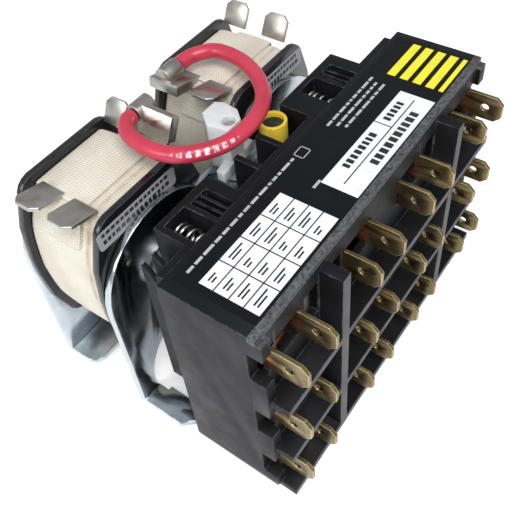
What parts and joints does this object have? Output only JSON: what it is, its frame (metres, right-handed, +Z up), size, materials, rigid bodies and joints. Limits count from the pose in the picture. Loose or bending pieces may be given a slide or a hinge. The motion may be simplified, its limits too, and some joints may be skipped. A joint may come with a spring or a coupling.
{
  "type": "industrial control relay",
  "caption": "Open-frame reversing contactor relay: paired solenoids on plated steel brackets drive bridging contacts inside a moulded block with quick-connect tabs.",
  "frame": {"origin": "middle of the bounding box on the mounting panel, under both brackets", "axes": "+X along the contact block towards the reverse contactor, +Y from the contact tabs to the coils, +Z up from the panel"},
  "size_m": [0.0866, 0.0706, 0.0642],
  "materials": {
    "black_moulding": "matte thermoset moulding, worn along edges",
    "bobbin_nylon": "glossy glass-filled nylon",
    "carrier_moulding": "light gray translucent moulding",
    "brass": "tarnished rolled brass with bright sheared edges",
    "copper": "copper bar",
    "spring_steel": "drawn wire",
    "iron": "nickel-plated soft iron",
    "zinc_plate": "bright zinc plate, bluish",
    "cloth_tape": "cream cotton tape, varnish stained",
    "tinned_brass": "matte tinned brass",
    "natural_nylon": "natural nylon, slightly translucent",
    "yellow_tube": "yellow sleeving",
    "red_insulation": "red wire insulation"
  },
  "bodies": {
    "frame": {"contact_block": "black_moulding", "rear_cover": "black_moulding", "terminal_forward_1_outer": "brass", "terminal_forward_1_inner": "brass", "terminal_forward_2_outer": "brass", "terminal_forward_2_inner": "brass", "terminal_forward_3_outer": "brass", "terminal_forward_3_inner": "brass", "return_spring_forward": "spring_steel", "bobbin_forward": "bobbin_nylon", "winding_forward": "cloth_tape", "core_forward": "iron", "coil_tab_forward_left_front": "tinned_brass", "coil_tab_forward_left_rear": "tinned_brass", "coil_tab_forward_right_front": "tinned_brass", "coil_tab_forward_right_rear": "tinned_brass", "terminal_reverse_1_outer": "brass", "terminal_reverse_1_inner": "brass", "terminal_reverse_2_outer": "brass", "terminal_reverse_2_inner": "brass", "terminal_reverse_3_outer": "brass", "terminal_reverse_3_inner": "brass", "return_spring_reverse": "spring_steel", "bobbin_reverse": "bobbin_nylon", "winding_reverse": "cloth_tape", "core_reverse": "iron", "coil_tab_reverse_left_front": "tinned_brass", "coil_tab_reverse_left_rear": "tinned_brass", "coil_tab_reverse_right_front": "tinned_brass", "coil_tab_reverse_right_rear": "tinned_brass", "front_bracket": "zinc_plate", "rear_bracket": "zinc_plate", "pivot_pin": "iron", "yellow_sleeve": "yellow_tube", "receptacle_reverse": "tinned_brass", "receptacle_forward": "tinned_brass", "jumper_wire": "red_insulation"},
    "contactor_forward": {"carrier_forward": "carrier_moulding", "plunger_forward": "iron", "contact_spring_forward_1": "spring_steel", "contact_spring_forward_2": "spring_steel", "contact_spring_forward_3": "spring_steel"},
    "bridge_forward_1": {"bridge_forward_1": "copper"},
    "bridge_forward_2": {"bridge_forward_2": "copper"},
    "bridge_forward_3": {"bridge_forward_3": "copper"},
    "contactor_reverse": {"carrier_reverse": "carrier_moulding", "plunger_reverse": "iron", "contact_spring_reverse_1": "spring_steel", "contact_spring_reverse_2": "spring_steel", "contact_spring_reverse_3": "spring_steel"},
    "bridge_reverse_1": {"bridge_reverse_1": "copper"},
    "bridge_reverse_2": {"bridge_reverse_2": "copper"},
    "bridge_reverse_3": {"bridge_reverse_3": "copper"},
    "pawl": {"interlock_pawl": "natural_nylon"}
  },
  "joints": [
    {"name": "contactor_forward_slide", "type": "slide", "parent": "frame", "child": "contactor_forward", "axis": [0, 1, 0], "range_m": [0, 0.0032], "stiffness_N_per_m": 300, "springref_m": -0.004, "deforming": ["return_spring_forward"]},
    {"name": "bridge_forward_1_overtravel", "type": "slide", "parent": "contactor_forward", "child": "bridge_forward_1", "axis": [0, 1, 0], "range_m": [-0.0008, 0], "deforming": ["contact_spring_forward_1"]},
    {"name": "bridge_forward_2_overtravel", "type": "slide", "parent": "contactor_forward", "child": "bridge_forward_2", "axis": [0, 1, 0], "range_m": [-0.0008, 0], "deforming": ["contact_spring_forward_2"]},
    {"name": "bridge_forward_3_overtravel", "type": "slide", "parent": "contactor_forward", "child": "bridge_forward_3", "axis": [0, 1, 0], "range_m": [-0.0008, 0], "deforming": ["contact_spring_forward_3"]},
    {"name": "contactor_reverse_slide", "type": "slide", "parent": "frame", "child": "contactor_reverse", "axis": [0, 1, 0], "range_m": [0, 0.0032], "stiffness_N_per_m": 300, "springref_m": -0.004, "deforming": ["return_spring_reverse"]},
    {"name": "bridge_reverse_1_overtravel", "type": "slide", "parent": "contactor_reverse", "child": "bridge_reverse_1", "axis": [0, 1, 0], "range_m": [-0.0008, 0], "deforming": ["contact_spring_reverse_1"]},
    {"name": "bridge_reverse_2_overtravel", "type": "slide", "parent": "contactor_reverse", "child": "bridge_reverse_2", "axis": [0, 1, 0], "range_m": [-0.0008, 0], "deforming": ["contact_spring_reverse_2"]},
    {"name": "bridge_reverse_3_overtravel", "type": "slide", "parent": "contactor_reverse", "child": "bridge_reverse_3", "axis": [0, 1, 0], "range_m": [-0.0008, 0], "deforming": ["contact_spring_reverse_3"]},
    {"name": "interlock_pawl_hinge", "type": "hinge", "parent": "frame", "child": "pawl", "pos_m": [-0.00443, 0.0061, 0.052], "axis": [0, 0, 1], "range_deg": [-6, 6]}
  ],
  "couplings": [
    {"joint": "bridge_forward_1_overtravel", "follows": "contactor_forward_slide", "ratio": -0.25},
    {"joint": "bridge_forward_2_overtravel", "follows": "contactor_forward_slide", "ratio": -0.25},
    {"joint": "bridge_forward_3_overtravel", "follows": "contactor_forward_slide", "ratio": -0.25},
    {"joint": "bridge_reverse_1_overtravel", "follows": "contactor_reverse_slide", "ratio": -0.25},
    {"joint": "bridge_reverse_2_overtravel", "follows": "contactor_reverse_slide", "ratio": -0.25},
    {"joint": "bridge_reverse_3_overtravel", "follows": "contactor_reverse_slide", "ratio": -0.25}
  ]
}
